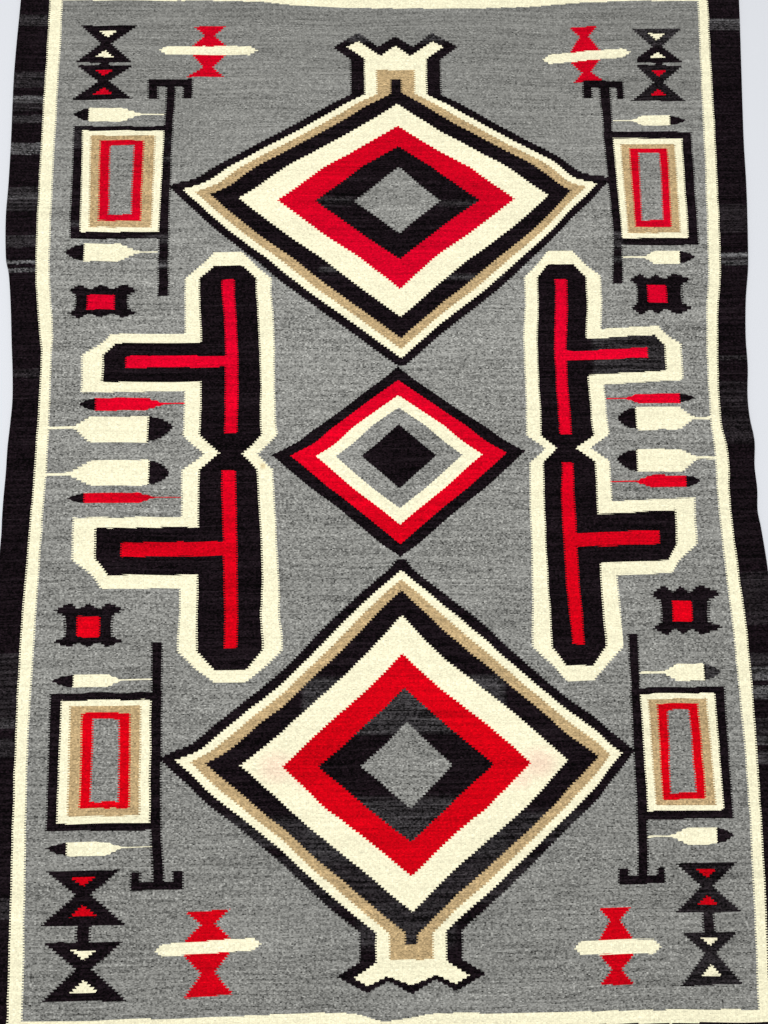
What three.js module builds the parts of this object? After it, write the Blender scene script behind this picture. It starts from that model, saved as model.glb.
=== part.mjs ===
import * as THREE from 'three';

// Sizes in millimetres. X runs across the rug, Y along it and Z up from the floor.

const LENGTH = 1952;
const SHEET_THICKNESS = 4;

// The bound edges bulge a little past the two faces, as a twined cord does.
const SELVAGE_BULGE = 1.5;
const SELVAGE_HEIGHTS = [0, 0.22, 0.78, 1];
const SELVAGE_REACH = [0, 1, 1, 0];
const CORNER_EASE = 4;

// Both ends bow inwards a little: the weaver beat the middle down harder than the sides.
const HIGH_END_BOW = 5;
const LOW_END_BOW = 3;

// The long edges, as uneven as they were woven: drawn in at the waist, full above and below it.
const EDGE_STATIONS = [
  { along: -976, left: -674, right: 668 },
  { along: -905, left: -677, right: 671 },
  { along: -735, left: -680, right: 675 },
  { along: -520, left: -681, right: 677 },
  { along: -300, left: -680, right: 674 },
  { along: -183, left: -675, right: 668 },
  { along: -110, left: -671, right: 661 },
  { along: -80, left: -671, right: 657 },
  { along: -43, left: -670, right: 659 },
  { along: 0, left: -668, right: 657 },
  { along: 45, left: -667, right: 660 },
  { along: 90, left: -664, right: 654 },
  { along: 130, left: -662, right: 653 },
  { along: 182, left: -664, right: 657 },
  { along: 236, left: -668, right: 657 },
  { along: 308, left: -673, right: 662 },
  { along: 366, left: -679, right: 670 },
  { along: 392, left: -685, right: 672 },
  { along: 473, left: -689, right: 676 },
  { along: 535, left: -687, right: 678 },
  { along: 620, left: -686, right: 679 },
  { along: 761, left: -686, right: 684 },
  { along: 905, left: -680, right: 689 },
  { along: 976, left: -677, right: 689 },
];

// One faint lengthwise crease runs from the middle of the rug to its lower end.
const CREASE = { startAlong: -180, endAlong: -976, startAcross: 0, endAcross: -14, height: 1.4, halfWidth: 30 };

// Long shallow swells where the weave is a little looser.
const SWELLS = [
  { across: -470, along: 700, reachAcross: 190, reachAlong: 240, height: 0.9 },
  { across: 380, along: 560, reachAcross: 230, reachAlong: 170, height: 0.7 },
  { across: -560, along: 150, reachAcross: 120, reachAlong: 210, height: 1.1 },
  { across: 570, along: 110, reachAcross: 110, reachAlong: 190, height: 1.0 },
  { across: -330, along: -420, reachAcross: 210, reachAlong: 230, height: 0.8 },
  { across: 430, along: -640, reachAcross: 200, reachAlong: 220, height: 0.9 },
];

// The corners round off within one narrow strip of cells along each edge.
const CELLS_ACROSS = 26;
const CELLS_ALONG = 42;
const EDGE_STRIP = 11;

// The underside is one flat panel inside a flat margin.
const PANEL_HALF_WIDTH = 560;
const PANEL_HALF_LENGTH = 860;

const WOOL_GREY = 0x8a8784;

function smooth(t) {
  return t * t * (3 - 2 * t);
}

// The slope of an edge at one station, from its two neighbours.
function edgeSlope(i, side) {
  const a = EDGE_STATIONS[Math.max(i - 1, 0)];
  const b = EDGE_STATIONS[Math.min(i + 1, EDGE_STATIONS.length - 1)];
  return (b[side] - a[side]) / (b.along - a.along);
}

// The edge at a place along the rug: a smooth curve through the stations.
function edgeAt(along, side) {
  const last = EDGE_STATIONS.length - 1;
  const y = THREE.MathUtils.clamp(along, EDGE_STATIONS[0].along, EDGE_STATIONS[last].along);
  let i = 0;
  while (i < last - 1 && EDGE_STATIONS[i + 1].along < y) {
    i += 1;
  }
  const a = EDGE_STATIONS[i];
  const b = EDGE_STATIONS[i + 1];
  const step = b.along - a.along;
  const t = (y - a.along) / step;
  const rise = smooth(t);
  const fromSlopes = step * t * (1 - t) * ((1 - t) * edgeSlope(i, side) - t * edgeSlope(i + 1, side));
  const edge = THREE.MathUtils.lerp(a[side], b[side], rise) + fromSlopes;
  return edge - SELVAGE_BULGE * Math.sign(edge);
}

// Places 0 to 1 along one side: a narrow strip at each end and even cells between.
function stops(cells, size) {
  const strip = EDGE_STRIP / size;
  const inner = cells - 2;
  const list = [0];
  for (let i = 0; i <= inner; i += 1) {
    list.push(strip + (1 - 2 * strip) * (i / inner));
  }
  list.push(1);
  return list;
}

// The plan of the rug: s runs 0 to 1 across it and t runs 0 to 1 along it.
function planPoint(s, t) {
  const bow = 1 - (2 * s - 1) ** 2;
  const lowEnd = -LENGTH / 2 + SELVAGE_BULGE + LOW_END_BOW * bow;
  const highEnd = LENGTH / 2 - SELVAGE_BULGE - HIGH_END_BOW * bow;
  const isCorner = (s === 0 || s === 1) && (t === 0 || t === 1);
  const ease = isCorner ? CORNER_EASE : 0;
  const y = THREE.MathUtils.lerp(lowEnd, highEnd, t);
  const x = THREE.MathUtils.lerp(edgeAt(y, 'left'), edgeAt(y, 'right'), s);
  return new THREE.Vector2(x - ease * (2 * s - 1), y - ease * (2 * t - 1));
}

function creaseHeight(x, y) {
  const t = (y - CREASE.startAlong) / (CREASE.endAlong - CREASE.startAlong);
  if (t <= 0) {
    return 0;
  }
  const line = THREE.MathUtils.lerp(CREASE.startAcross, CREASE.endAcross, Math.min(t, 1));
  const fade = smooth(Math.min(t * 2.5, 1));
  return CREASE.height * fade * Math.exp(-(((x - line) / CREASE.halfWidth) ** 2));
}

function swellHeight(x, y) {
  let sum = 0;
  for (const swell of SWELLS) {
    const u = (x - swell.across) / swell.reachAcross;
    const v = (y - swell.along) / swell.reachAlong;
    sum += swell.height * Math.exp(-(u * u + v * v));
  }
  return sum;
}

function topHeight(x, y) {
  return SHEET_THICKNESS + creaseHeight(x, y) + swellHeight(x, y);
}

// The border of the plan as one anticlockwise ring of [column, row] pairs.
function borderRing() {
  const ring = [];
  for (let i = 0; i < CELLS_ACROSS; i += 1) {
    ring.push([i, 0]);
  }
  for (let j = 0; j < CELLS_ALONG; j += 1) {
    ring.push([CELLS_ACROSS, j]);
  }
  for (let i = CELLS_ACROSS; i > 0; i -= 1) {
    ring.push([i, CELLS_ALONG]);
  }
  for (let j = CELLS_ALONG; j > 0; j -= 1) {
    ring.push([0, j]);
  }
  return ring;
}

function buildRug() {
  const places = [];
  const faces = [];
  const add = (x, y, z) => places.push(x, y, z) / 3 - 1;

  const across = stops(CELLS_ACROSS, 2 * EDGE_STATIONS[0].right);
  const lengthwise = stops(CELLS_ALONG, LENGTH);

  // Top face
  const top = [];
  for (let j = 0; j <= CELLS_ALONG; j += 1) {
    const row = [];
    for (let i = 0; i <= CELLS_ACROSS; i += 1) {
      const p = planPoint(across[i], lengthwise[j]);
      row.push(add(p.x, p.y, topHeight(p.x, p.y)));
    }
    top.push(row);
  }
  for (let j = 0; j < CELLS_ALONG; j += 1) {
    for (let i = 0; i < CELLS_ACROSS; i += 1) {
      faces.push(top[j][i], top[j][i + 1], top[j + 1][i + 1]);
      faces.push(top[j][i], top[j + 1][i + 1], top[j + 1][i]);
    }
  }

  // Bound edge all round, from the top face down to the underside
  const ring = borderRing();
  const plan = ring.map(([i, j]) => planPoint(across[i], lengthwise[j]));
  const count = plan.length;
  const levels = [...SELVAGE_HEIGHTS].reverse();
  const rims = levels.map((level, k) => ring.map(([i, j], n) => {
    if (level === 1) {
      return top[j][i];
    }
    const before = plan[(n + count - 1) % count];
    const after = plan[(n + 1) % count];
    const along = after.clone().sub(before).normalize();
    const reach = SELVAGE_BULGE * SELVAGE_REACH[levels.length - 1 - k];
    const x = plan[n].x + along.y * reach;
    const y = plan[n].y - along.x * reach;
    return add(x, y, topHeight(plan[n].x, plan[n].y) * level);
  }));
  for (let k = 0; k < rims.length - 1; k += 1) {
    for (let n = 0; n < count; n += 1) {
      const m = (n + 1) % count;
      faces.push(rims[k][n], rims[k + 1][n], rims[k][m]);
      faces.push(rims[k][m], rims[k + 1][n], rims[k + 1][m]);
    }
  }

  // Underside: the flat panel and the margin round it
  const panel = [
    new THREE.Vector2(-PANEL_HALF_WIDTH, -PANEL_HALF_LENGTH),
    new THREE.Vector2(PANEL_HALF_WIDTH, -PANEL_HALF_LENGTH),
    new THREE.Vector2(PANEL_HALF_WIDTH, PANEL_HALF_LENGTH),
    new THREE.Vector2(-PANEL_HALF_WIDTH, PANEL_HALF_LENGTH),
  ];
  const panelIndex = panel.map((p) => add(p.x, p.y, 0));
  const under = rims[rims.length - 1];
  const hole = [...panel].reverse();
  const holeIndex = [...panelIndex].reverse();
  const index = [...under, ...holeIndex];
  for (const [a, b, c] of THREE.ShapeUtils.triangulateShape(plan, [hole])) {
    faces.push(index[a], index[c], index[b]);
  }
  faces.push(panelIndex[0], panelIndex[2], panelIndex[1]);
  faces.push(panelIndex[0], panelIndex[3], panelIndex[2]);

  const geometry = new THREE.BufferGeometry();
  geometry.setAttribute('position', new THREE.Float32BufferAttribute(places, 3));
  geometry.setIndex(faces);
  geometry.computeVertexNormals();
  return geometry;
}

const wool = new THREE.MeshStandardMaterial({ color: WOOL_GREY, roughness: 0.95, metalness: 0 });
const rug = new THREE.Mesh(buildRug(), wool);
rug.name = 'rug';

const part = new THREE.Group();
part.name = 'navajo_rug';
part.add(rug);

export default part;
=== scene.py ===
"""A Navajo tapestry-woven wool rug on a plain floor.

The rug is one closed woven sheet. Its pattern is charted: each figure has one drawing at an even
size, and the short tables say between which lines, in millimetres, it was woven in each place.
X runs across the rug, Y along it and Z up from the floor. Outward and far are away from its middle.
"""

import math

import bpy
import numpy as np
from bpy.props import FloatProperty, FloatVectorProperty, IntProperty, PointerProperty
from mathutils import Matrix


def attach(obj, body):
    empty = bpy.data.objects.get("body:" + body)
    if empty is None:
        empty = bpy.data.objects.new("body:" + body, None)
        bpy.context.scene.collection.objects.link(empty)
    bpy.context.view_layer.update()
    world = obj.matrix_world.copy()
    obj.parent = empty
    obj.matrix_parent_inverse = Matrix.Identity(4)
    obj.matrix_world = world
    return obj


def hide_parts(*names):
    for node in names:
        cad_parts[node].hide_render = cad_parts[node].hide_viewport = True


bl_info = {
    "name": "Navajo rug",
    "version": (1, 0, 0),
    "blender": (4, 5, 0),
    "location": "3D View > Sidebar > Rug",
    "description": "Weaves a bordered wool rug and sets a plain studio round it",
    "category": "Object",
}

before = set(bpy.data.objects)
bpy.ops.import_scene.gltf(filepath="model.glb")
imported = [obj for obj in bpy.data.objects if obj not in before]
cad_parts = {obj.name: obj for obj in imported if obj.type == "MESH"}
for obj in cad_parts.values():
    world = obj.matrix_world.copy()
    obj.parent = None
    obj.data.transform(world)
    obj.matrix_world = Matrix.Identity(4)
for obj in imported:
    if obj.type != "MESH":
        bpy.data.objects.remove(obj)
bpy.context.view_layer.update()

MM = 0.001


def chart(names, *rows):
    """A short table, as one array of numbers for each named column."""
    return dict(zip(names.split(), np.array(rows, float).T))


# The woven sheet

EDGES = chart(
    "along left right",
    (-976, -674, 668), (-905, -677, 671), (-735, -680, 675), (-520, -681, 677),
    (-300, -680, 674), (-183, -675, 668), (-110, -671, 661), (-80, -671, 657), (-43, -670, 659),
    (0, -668, 657), (45, -667, 660), (90, -664, 654), (130, -662, 653), (182, -664, 657),
    (236, -668, 657), (308, -673, 662), (366, -679, 670), (392, -685, 672), (473, -689, 676),
    (535, -687, 678), (620, -686, 679), (761, -686, 684), (905, -680, 689), (976, -677, 689),
)
MEAN_WIDTH = 1350
LENGTH = 1952
HIGH_END_BOW = 5
LOW_END_BOW = 3
EDGE_STRIP = 7
CORNER_EASE = 2.6

CREASE_START = (0, -180)
CREASE_END = (-14, -976)
CREASE_HEIGHT = 1.4
CREASE_HALF_WIDTH = 30

SWELLS = chart(
    "across along reach_across reach_along height",
    (-470, 700, 190, 240, 0.9),
    (380, 560, 230, 170, 0.7),
    (-560, 150, 120, 210, 1.1),
    (570, 110, 110, 190, 1.0),
    (-330, -420, 210, 230, 0.8),
    (430, -640, 200, 220, 0.9),
)

# The cream frame stripe: its lines on the two long sides, then on the two ends

LEFT_STRIPE = chart(
    "along outer inner",
    (-976, -625, -600), (-903, -626, -600.5), (-502, -631, -609), (-290, -630, -606),
    (-69, -621, -599), (40, -617, -595.5), (218, -613.5, -595), (250, -619, -594.5),
    (398, -631, -606), (905, -625, -600), (976, -624, -599),
)
RIGHT_STRIPE = chart(
    "along outer inner",
    (-976, 620, 600), (-905, 621, 601), (-735, 625, 604.5), (-521, 627, 606),
    (-306, 624, 599.5), (-82, 609, 587), (30, 610, 586), (84, 601, 582), (251, 606, 585),
    (392, 620, 597), (906, 628, 608), (976, 630, 609),
)
HIGH_STRIPE = chart(
    "across outer inner",
    (-700, 926, 903.5), (-544, 926, 903), (-236, 923, 901), (-153, 917, 893), (-1, 913, 888),
    (251, 914, 889), (343, 919, 896), (458, 925, 903), (700, 926, 904),
)
LOW_STRIPE = chart(
    "across outer inner",
    (-700, -924, -900), (-558, -924, -900), (-223, -922, -898), (-170, -920, -896),
    (-64, -921, -898), (-17, -930, -910), (70, -924, -901), (194, -924, -902),
    (425, -925, -902), (700, -927, -906),
)

# The three nested diamonds: how far out each band of colour ends, from the middle to the tips

LARGE_BANDS = (0.197, 0.361, 0.528, 0.699, 0.823, 0.891, 0.952, 1.0)
LARGE_DRAWN = (0.195, 0.364, 0.528, 0.697, 0.825, 0.891, 0.943, 1.008)
SMALL_BANDS = (0.3, 0.515, 0.68, 0.87, 1.0)
SMALL_DRAWN = (0.305, 0.515, 0.675, 0.862, 1.008)
HIGH_DIAMOND = {
    "middle": (29.6, 501.5),
    "left": (82.6, 152, 222.6, 294.6, 346.6, 374.6, 400.6, 420.6),
    "right": (76.4, 146.9, 213.4, 276.4, 317.4, 347.4, 371.4, 393.4),
    "up": (66.5, 106.5, 147.5, 192, 217.5, 240, 258, 272),
    "down": (63.5, 111.5, 168.5, 221.5, 260.5, 282.5, 301.5, 315.5),
    "left_rise": 30,
    "right_rise": 41,
    "left_sag": (11, 0.2),
    "right_sag": (11, 0.09),
    "lean": 0,
    "hollow": ((0.005, 0.027), (0.013, 0.02)),
}
LOW_DIAMOND = {
    "middle": (33.6, -508),
    "left": (83.6, 153.6, 214.6, 286.6, 343.6, 370.6, 399.6, 419.6),
    "right": (71.4, 140.4, 205.4, 268.4, 319.4, 340.9, 364.4, 380.4),
    "up": (72, 127, 186, 252, 294, 314, 332.5, 356),
    "down": (71, 123, 178, 236, 277, 300, 320, 337),
    "left_rise": 18,
    "right_rise": 20,
    "left_sag": (11, 0.15),
    "right_sag": (0, 0.2),
    "lean": -10,
    "hollow": ((0.015, 0.0), (0.024, 0.014)),
}
MIDDLE_DIAMOND = {
    "middle": (22.7, 24.7),
    "left": (65.7, 111.7, 148.7, 193.7, 222.7),
    "right": (65.3, 111.9, 149.3, 192.8, 222.3),
    "up": (57.3, 87.3, 111.3, 139.3, 161.3),
    "down": (57.7, 93.7, 123.7, 158.7, 177.7),
    "left_rise": 3,
    "right_rise": 6,
    "left_sag": (14, 0.55),
    "right_sag": (8, 0.6),
    "lean": 0,
    "hollow": ((0, 0), (0, 0)),
}

LEAN_REACH = 90
SAG_AT, SAG_FADE = 0.88, 25
WIDE_SLOPE, TALL_SLOPE = 400, 300

# The necks of the large diamonds and the crowns on them

HIGH_NECK = {"across": 27, "stub": 743.5, "tan": 762, "start": 712, "top": 785}
LOW_NECK = {"across": 31, "stub": -795, "tan": -818, "start": -770, "top": -821}
STUB_HALF, TAN_HALF, CREAM_HALF, NECK_HALF, NECK_SLACK = 10, 36, 58, 85, 3
HIGH_CROWN_CREAM = ((0, 811), (28.5, 790), (70, 820), (91, 809))
HIGH_CROWN_BLACK = ((0, 831), (33, 809), (69, 838.5), (116.5, 809.5))
LOW_CROWN_CREAM = ((0, -857), (40.5, -842), (72, -857), (94.5, -844.5))
LOW_CROWN_BLACK = ((0, -871), (38.5, -849.5), (73.5, -868), (121.5, -843.5))

# Boxes with a forked pole. Across them, at their far and near sides

BOX_ACROSS = chart(
    "side half at border cream tan red grey grey_in red_in tan_in",
    (-1, 1, 618, 568.5, 556.5, 539.5, 522, 503, 459.5, 441.5, 420),
    (-1, 1, 456, 569.5, 554.5, 536.5, 520, 501, 462, 444, 423),
    (1, 1, 606, 578, 564, 547, 533.5, 517.5, 479, 461, 445),
    (1, 1, 439, 579.5, 564, 548.5, 532.5, 518.5, 477.5, 466, 451),
    (-1, -1, 580, 572, 559.5, 539.5, 519.5, 503, 455, 436.5, 420),
    (-1, -1, 404, 573.5, 559, 542, 520.5, 501, 458.5, 439.5, 422),
    (1, -1, 583, 576.5, 565.5, 551, 535, 519, 474, 461, 449),
    (1, -1, 404, 575.5, 562, 545.5, 529.5, 513.5, 477.5, 459, 444),
)
POLE_ACROSS = chart(
    "side half at outer inner",
    (-1, 1, 706, 401, 387), (-1, 1, 618, 402.5, 392.5), (-1, 1, 456, 408.5, 395),
    (-1, 1, 325, 409, 391), (1, 1, 706, 431, 413), (1, 1, 606, 430.5, 418),
    (1, 1, 439, 439, 427), (1, 1, 346, 437, 420), (-1, -1, 682, 395, 379),
    (-1, -1, 580, 400.5, 388), (-1, -1, 404, 403, 389), (-1, -1, 303, 405, 389),
    (1, -1, 691, 427, 414), (1, -1, 583, 433, 418.5), (1, -1, 404, 430, 418),
    (1, -1, 297, 432, 417),
)
BOX_ALONG = chart(
    "side half pole_far bar prong border cream tan red grey "
    "grey_in red_in tan_in cream_in border_in pole_in",
    (-1, 1, 743, 731, 706, 648, 642, 631, 621.5, 612.5, 477, 465, 452, 442, 431.5, 322),
    (1, 1, 739, 728, 706, 635, 624.5, 610, 605, 594.5, 462, 448, 437, 426, 414, 341),
    (-1, -1, 700, 690, 674, 604, 595, 582, 569, 559, 424, 413.5, 402, 391, 381, 298),
    (1, -1, 705, 692, 683, 601, 590, 580, 570.5, 560, 422.5, 412, 404, 394, 386, 294),
)
CHARTED_BOX_ACROSS = (-89, -73, -56, -39, -22, 22, 39, 56, 73, 90)
CHARTED_BOX_ALONG = (-212, -110, -99.5, -89, -78.5, -68, 68, 78.5, 89, 99.5, 110, 172, 193, 205)

# Branched figures that meet at a waist on each side. Along them, from the waist

WAIST = chart("side along", (-1, 30.5), (1, 36))
BRANCH_ACROSS = chart(
    "side half at cream_in black_in red_in red black cream",
    (-1, 1, 325, 204, 233, 270, 295, 333, 361),
    (-1, 1, 300, 201.5, 230.5, 267.5, 291.5, 332, 360),
    (-1, 1, 240, 198, 227, 263.5, 287.5, 327, 359.5),
    (-1, 1, 150, 197.5, 223.5, 261.5, 287, 326.5, 358.5),
    (-1, 1, 75, 195, 224, 262, 287.5, 327.5, 359),
    (-1, 1, 50, 188, 219.5, 261, 286, 330.5, 361.5),
    (-1, 1, 30, 189, 218, 261, 285, 329, 360),
    (-1, -1, 300, 181.5, 219, 259, 283, 326, 363),
    (-1, -1, 250, 187, 222, 258, 282.5, 328, 360.5),
    (-1, -1, 200, 187.5, 218.5, 259, 286, 327, 360.5),
    (-1, -1, 120, 193.5, 221.5, 261, 287, 328, 359.5),
    (-1, -1, 40, 197.5, 227, 263.5, 291, 328, 360),
    (-1, -1, -5, 200, 230, 264.5, 291.5, 328, 361),
    (-1, -1, -30, 190, 221, 262, 291, 328, 359),
    (1, 1, 300, 256, 282, 310.5, 335.5, 368, 397.5),
    (1, 1, 240, 251, 277.5, 305, 330.5, 363.5, 392.5),
    (1, 1, 150, 251.5, 277.5, 306, 329, 364, 394.5),
    (1, 1, 85, 251, 279, 308, 332.5, 367, 398),
    (1, 1, 50, 250, 278, 309, 332, 371, 401),
    (1, -1, 300, 248, 285.5, 317, 339.5, 375, 409),
    (1, -1, 250, 249.5, 284, 312.5, 338.5, 371.5, 404),
    (1, -1, 200, 252, 281.5, 310, 335.5, 371, 402.5),
    (1, -1, 120, 252.5, 280, 308, 334.5, 371.5, 400.5),
    (1, -1, 40, 253.5, 279.5, 307, 332.5, 370, 399.5),
    (1, -1, 10, 254.5, 280.5, 311, 333, 370, 398),
)
BRANCH_ALONG = chart(
    "side half arm_rise red_in arm_cream_in arm_black_in arm_red_in arm_red arm_black arm_cream "
    "red black cream out_red out_black out_cream",
    (-1, 1, 0, 36, 112, 133, 157, 180, 202, 221, 322, 345, 375, 465, 501, 542),
    (-1, -1, 0, 29, 110, 131, 154, 181, 210, 236, 340, 375, 397, 464, 505, 548),
    (1, 1, 0.05, 23, 113, 134, 159, 179, 199, 218, 315, 340, 368, 477, 505, 538),
    (1, -1, -0.03, 26, 96, 120, 151, 177, 204, 229, 347, 380, 409, 480, 507, 546),
)
CHARTED_BRANCH_ACROSS = (-79.6, -51.5, -12.5, 12.5, 51.5, 79.6, 192, 231, 259.1)
CHARTED_BRANCH_ALONG = (0, 34, 115.5, 132.5, 156, 180, 203.5, 220.5, 330, 357, 386)

# Feathers: places outward, from the tip to the quill's end, and along the rug

FEATHERS = chart(
    "side kind tip body taper quill end high spine low",
    (-1, 1, 571, 544, 480, 447, 402, 685, 673, 659),
    (-1, 1, 578, 544, 479, 445, 408, 421, 405, 387),
    (1, 1, 571, 540, 488, 469, 431, 667.5, 660, 649),
    (1, 1, 572, 544, 496, 478, 437, 402, 391, 378),
    (-1, 1, 573, 537, 480, 456, 404, -349, -359, -371),
    (-1, 1, 572, 539, 471, 447, 398, -624.5, -632, -644.5),
    (1, 1, 572, 543, 496, 473, 433, -345, -359, -374),
    (1, 1, 577, 549, 497, 472, 429, -617, -630, -644),
    (-1, -1, 377, 421, 524, 552, 597, 100, 81, 51),
    (-1, -1, 380, 418, 521, 559, 600, 22, -3, -25),
    (1, -1, 414, 449, 527, 553, 584, 110, 88, 67),
    (1, -1, 410, 447, 527, 555, 589, 32.5, 16, -10),
    (-1, 2, 542, 515, 424, 392, 358, 133, 122, 110),
    (-1, 2, 558, 530, 431, 406, 359, -38, -46, -54.5),
    (1, 2, 556, 529, 452, 430, 396, 132.5, 125, 117),
    (1, 2, 558, 532, 468, 439, 396, -15, -26, -36),
)
CHARTED_FEATHER = (-100, -62, -40, 60, 100)
FEATHER_HALF = 20.5

HOURGLASSES = chart(
    "kind left_high right_high left_low right_low high waist low post",
    (3, -559, -464, -568, -472, 851, 815, 778, 8),
    (4, -565, -470, -571, -468, 770, 739, 703, 0),
    (3, 481, 570, 479, 569, 847, 810, 778, 8),
    (4, 486, 567, 476, 566, 770, 737, 700, 0),
    (4, -566, -456, -572, -444, -670, -706, -754, 36),
    (3, -566, -448, -566, -439, -782, -822, -872, 0),
    (4, 482, 575, 476, 577, -674, -711, -752, 38),
    (3, 484, 571, 479, 574, -784, -817, -866, 0),
)
HOURGLASS_HALF = (48, 37)

HIDES = chart(
    "left body_left red_left red_right body_right right high red_high red_low low",
    (-566, -556, -535, -487, -463, -449, 342, 324, 296, 283),
    (453, 462.5, 482, 514.5, 543.5, 559, 357, 338, 303, 283),
    (-571, -554, -534, -496, -475.5, -458, -230, -250, -287, -302),
    (462, 476, 496, 528, 556, 578, -212, -237, -274, -294),
)
CHARTED_HIDE_ACROSS = (-55, -45.5, -24, 24, 45.5, 55)
CHARTED_HIDE_ALONG = (-33, -14, 14, 33)

STACKS = chart(
    "bar_left left right bar_right slope "
    "high pinch bar_high bar_low pinch_low low left_out right_out",
    (-415, -352, -294, -235, 0, 850, 831, 812, 791, 768, 748, 13, -1),
    (307, 360, 413, 472, 0.095, 850, 830, 801, 779, 756, 738, -3, 7),
    (-388, -340, -268, -218, 0.05, -736, -756, -781, -804, -832, -868, 0, 9),
    (303, 344, 397, 443, 0, -743, -762, -791, -818, -839, -863, 3, 1),
)
CHARTED_STACK_ACROSS = (-90, -29.5, 29.5, 90)
CHARTED_STACK_ALONG = (-54, -33, -10.5, 10.5, 33, 54)

# The kinds in the two layers of figures, past the feathers' own, 1 for cream and 2 for red

BOX, BRANCH = 1, 2
HIDE, STACK = 5, 6
POST_BELOW, POST_ABOVE = 0.1, 0.3

# Which faces each figure takes: outward and far limits, and the room round a small figure. The two
# feathers on the right that are nearest the waist lie close together

WAIST_LINE, WAIST_SPLIT = 31, 32
BOX_NEAR, BOX_OUT, BOX_LAST = 330, 600, 765
BOX_FIRST = {1: 285, -1: 245}
BOX_GAP = {-1: 371, 1: 406}
BRANCH_NEAR, BRANCH_OUT, BRANCH_FAR = 170, 565, 425
HIGH_SPLIT, LOW_SPLIT = 186, -156.5
FEATHER_ROOM, CLOSE_ROOM, HOURGLASS_ROOM, POST_ROOM, CHARM_ROOM = 4.5, 2.7, 12, 22, 10

# Where the dark wool was spun paler: bands in the border's two sides, then patches inside it

LEFT_BANDS = chart(
    "low high lift",
    (851, 875, 0.14), (721, 754, 0.11), (697, 705, 0.6), (689, 697, 0.31), (674, 689, 0.08),
    (650, 666, 0.15), (587, 613, 0.53), (509, 525, 0.12), (501, 509, 0.28), (478, 501, 0.11),
    (409, 432, 0.13), (380, 387, 0.9), (363, 371, 0.65), (170, 185, 0.09), (-425, -315, 0.08),
    (-439, -425, 0.24), (-490, -459, 0.13), (-745, -712, 0.12),
)
RIGHT_BANDS = chart(
    "low high lift",
    (857, 860, 0.55), (841, 855, 0.28), (832.5, 835.5, 0.5), (430, 490, 0.05), (388, 395, 1.0),
    (380, 388, 0.17), (373, 380, 0.5), (190, 198, 0.13), (36, 155, 0.06), (-283, -192, 0.06),
    (-352, -330, 0.09), (-378, -356, 0.62), (-405, -390, 0.72), (-412, -405, 0.35),
    (-470, -440, 0.09), (-486, -470, 0.3), (-520, -494, 0.16),
)
PALE_PATCHES = chart(
    "left right low high lift",
    (-150, 200, -455, -360, 0.25), (-150, 200, -660, -560, 0.22), (-60, 110, -800, -725, 0.14),
    (-330, 360, -640, -585, 0.14), (-250, 300, -735, -650, 0.1), (-130, -50, 495, 512, 0.2),
    (100, 180, 488, 502, 0.2), (-120, -40, 362, 376, 0.3), (110, 220, 350, 362, 0.3),
    (-68, -14, 819, 846, 0.4), (70, 126, 819, 846, 0.4), (372, 520, 150, 250, 0.16),
    (-440, -370, 371, 388, 0.5), (-440, -370, 419, 437, 0.18), (-440, -370, 580, 593, 0.24),
    (-440, -370, 610, 630, 0.1), (-600, -540, 452, 463, 0.3), (-600, -540, 605, 650, 0.1),
    (-600, -370, 436, 441, 0.16), (405, 445, 405, 440, 0.2), (405, 445, 380, 392, 0.4),
    (470, 580, 690, 775, 0.06), (470, 580, 812, 850, 0.2), (470, 580, -770, -670, 0.06),
    (470, 580, -870, -780, 0.1), (540, 580, -380, -340, 0.35),
)

# Where the red dye bled into the cream, and one old spot: kind 0 and 1

STAINS = chart(
    "kind across along reach_across reach_along strength",
    (0, -192, -508, 36, 32, 0.5), (0, -150, -532, 20, 18, 0.35), (0, 252, -507, 38, 32, 0.55),
    (0, 220, -536, 24, 18, 0.45), (1, -217.5, 8, 7.5, 7, 0.95),
)

# How coarse the grey wool was spun and how far the red turns from scarlet to crimson, along the
# rug, and the painted shade that darkens the grey and the red wool towards both ends of the rug

SPINNING_AND_PAINTED_SHADE = chart(
    "along fleck tone red_tone crimson",
    (-976, 1.15, 0.86, 0.72, 0.35), (-700, 1.15, 0.84, 0.75, 0.25),
    (-450, 1.2, 0.865, 0.81, 0.2), (-170, 1.2, 0.895, 0.83, 0.35), (0, 1.2, 0.93, 0.89, 0.55),
    (250, 1.2, 1.0, 0.93, 1.0), (420, 1.1, 0.98, 0.8, 0.9), (560, 0.9, 0.94, 0.76, 0.6),
    (976, 0.75, 0.77, 0.72, 0.7),
)


def hermite(place, stations, values):
    """A smooth curve through the stations, with each slope from the two neighbours."""
    place = np.clip(place, stations[0], stations[-1])
    ends = np.arange(len(stations))
    before, after = np.maximum(ends - 1, 0), np.minimum(ends + 1, len(stations) - 1)
    slope = (values[after] - values[before]) / (stations[after] - stations[before])
    i = np.clip(np.searchsorted(stations, place) - 1, 0, len(stations) - 2)
    step = stations[i + 1] - stations[i]
    t = (place - stations[i]) / step
    rise = t * t * (3 - 2 * t)
    bend = step * t * (1 - t) * ((1 - t) * slope[i] - t * slope[i + 1])
    return values[i] + (values[i + 1] - values[i]) * rise + bend


def warp(place, lines, charted):
    """Straight-line steps from the woven lines to the charted ones, and one to one outside them."""
    out = charted[0] + np.sign(charted[-1] - charted[0]) * np.minimum(place - lines[0], 0)
    for a, b, p, q in zip(lines, lines[1:], charted, charted[1:]):
        out = out + np.clip((place - a) / (b - a), 0, 1) * (q - p)
    return out + np.sign(charted[-1] - charted[0]) * np.maximum(place - lines[-1], 0)


def rows_of(table, **wanted):
    """The rows of a chart whose named columns have the wanted values, as dictionaries."""
    count = len(next(iter(table.values())))
    picked = [i for i in range(count) if all(table[k][i] == v for k, v in wanted.items())]
    return [{name: column[i] for name, column in table.items()} for i in picked]


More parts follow.
